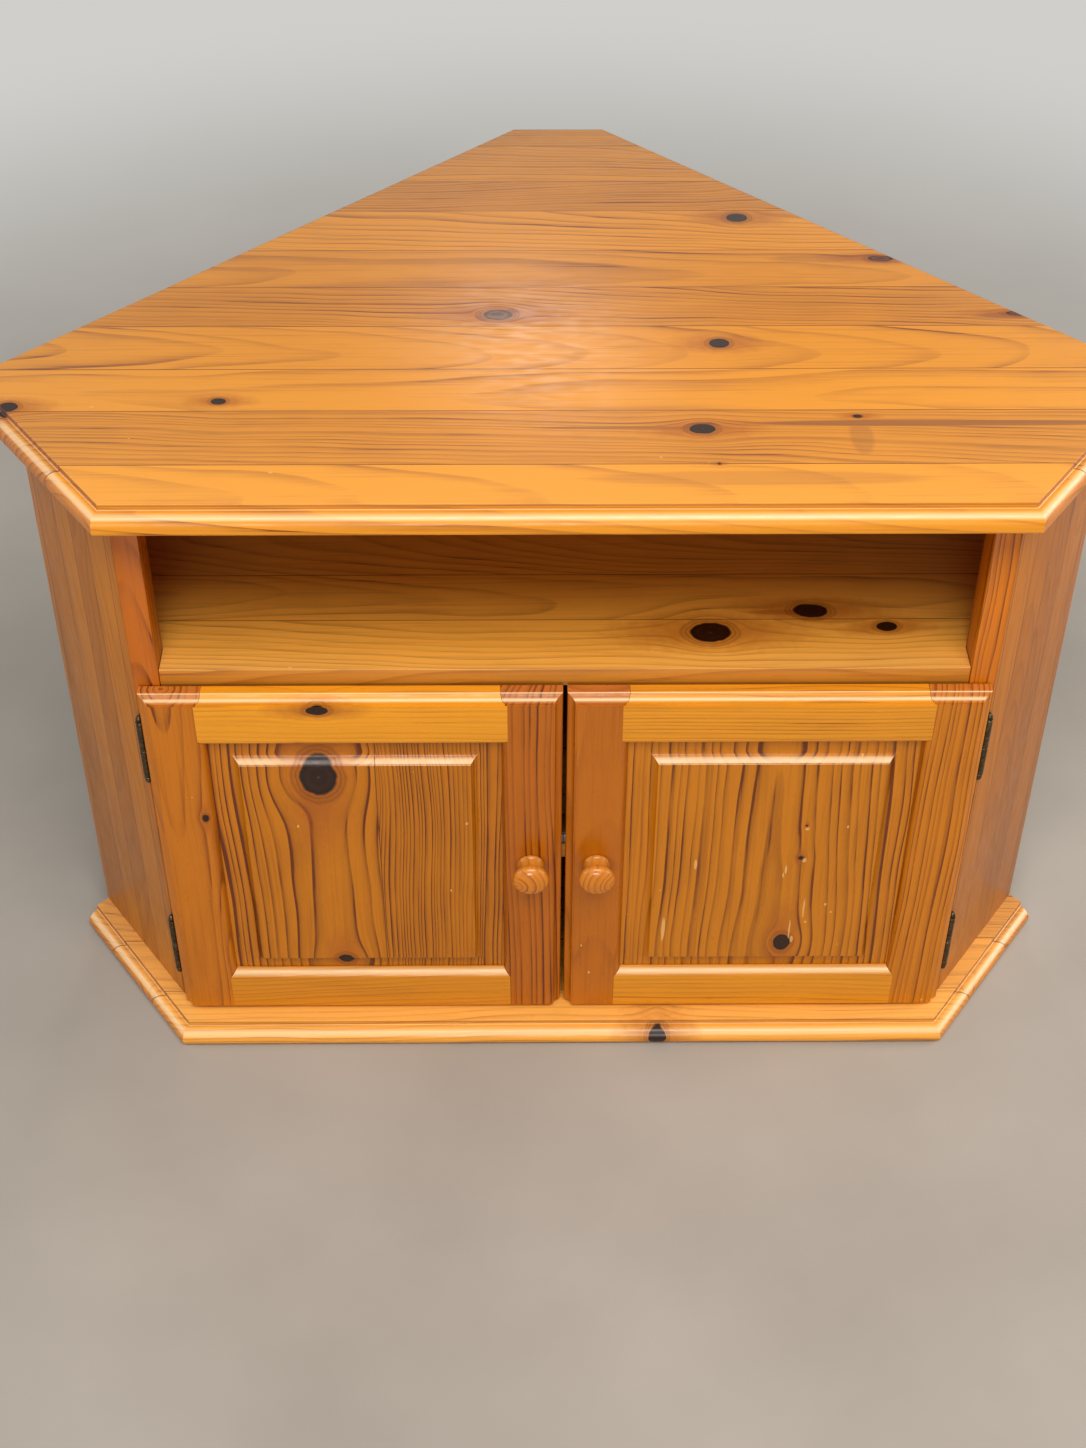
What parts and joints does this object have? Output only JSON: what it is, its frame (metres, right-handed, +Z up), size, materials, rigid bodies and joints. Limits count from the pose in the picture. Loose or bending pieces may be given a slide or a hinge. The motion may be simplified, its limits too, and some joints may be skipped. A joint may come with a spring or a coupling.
{
  "type": "corner television cabinet",
  "caption": "Pine corner cabinet for a television: splayed carcass, moulded top and base, open player bay over a cupboard with two raised-panel doors.",
  "frame": {"origin": "on the floor under the middle of the cabinet's bounding box", "axes": "+X along the front to the right seen from the front, +Y from the front to the corner of the room, +Z up"},
  "size_m": [0.9864, 0.6342, 0.622],
  "materials": {
    "pine_board": "gloss amber lacquer on edge-glued pine",
    "pine_side": "satin amber lacquer on edge-glued pine",
    "pine_stile": "gloss amber lacquer, upright grain",
    "pine_rail": "gloss amber lacquer, level grain",
    "pine_panel": "gloss amber lacquer, knotty pine",
    "pine_shelf": "satin lacquer on edge-glued pine",
    "pine_inner": "thin lacquer on planed pine",
    "plywood_back": "plain plywood",
    "knob_pine": "turned pine, gloss lacquer",
    "bronze": "dark antique bronze",
    "steel": "zinc plated",
    "catch_plastic": "moulded brown"
  },
  "bodies": {
    "carcass": {"top_board": "pine_board", "base_board": "pine_board", "rear_post": "pine_inner", "player_shelf": "pine_shelf", "cupboard_shelf": "pine_shelf", "rear_player_shelf_cleat": "pine_inner", "rear_cupboard_shelf_cleat": "pine_inner", "catch_housing": "catch_plastic", "left_return_panel": "pine_side", "left_front_post": "pine_stile", "left_back_panel": "plywood_back", "left_player_shelf_cleat": "pine_inner", "left_cupboard_shelf_cleat": "pine_inner", "left_top_batten": "pine_inner", "left_catch_magnet": "steel", "left_upper_hinge_frame_leaf": "bronze", "left_upper_hinge_pin": "bronze", "left_lower_hinge_frame_leaf": "bronze", "left_lower_hinge_pin": "bronze", "right_return_panel": "pine_side", "right_front_post": "pine_stile", "right_back_panel": "plywood_back", "right_player_shelf_cleat": "pine_inner", "right_cupboard_shelf_cleat": "pine_inner", "right_top_batten": "pine_inner", "right_catch_magnet": "steel", "right_upper_hinge_frame_leaf": "bronze", "right_upper_hinge_pin": "bronze", "right_lower_hinge_frame_leaf": "bronze", "right_lower_hinge_pin": "bronze"},
    "left_door": {"left_door_hinge_stile": "pine_stile", "left_door_meeting_stile": "pine_stile", "left_door_top_rail": "pine_rail", "left_door_bottom_rail": "pine_rail", "left_door_panel": "pine_panel", "left_knob": "knob_pine", "left_knob_screw": "steel", "left_strike_plate": "steel", "left_upper_hinge_door_leaf": "bronze", "left_lower_hinge_door_leaf": "bronze"},
    "right_door": {"right_door_hinge_stile": "pine_stile", "right_door_meeting_stile": "pine_stile", "right_door_top_rail": "pine_rail", "right_door_bottom_rail": "pine_rail", "right_door_panel": "pine_panel", "right_knob": "knob_pine", "right_knob_screw": "steel", "right_strike_plate": "steel", "right_upper_hinge_door_leaf": "bronze", "right_lower_hinge_door_leaf": "bronze"}
  },
  "joints": [
    {"name": "left_door_hinge", "type": "hinge", "parent": "carcass", "child": "left_door", "pos_m": [-0.3598, -0.27186, 0.2], "axis": [0, 0, -1], "range_deg": [0, 165]},
    {"name": "right_door_hinge", "type": "hinge", "parent": "carcass", "child": "right_door", "pos_m": [0.3598, -0.27186, 0.2], "axis": [0, 0, 1], "range_deg": [0, 165]}
  ]
}
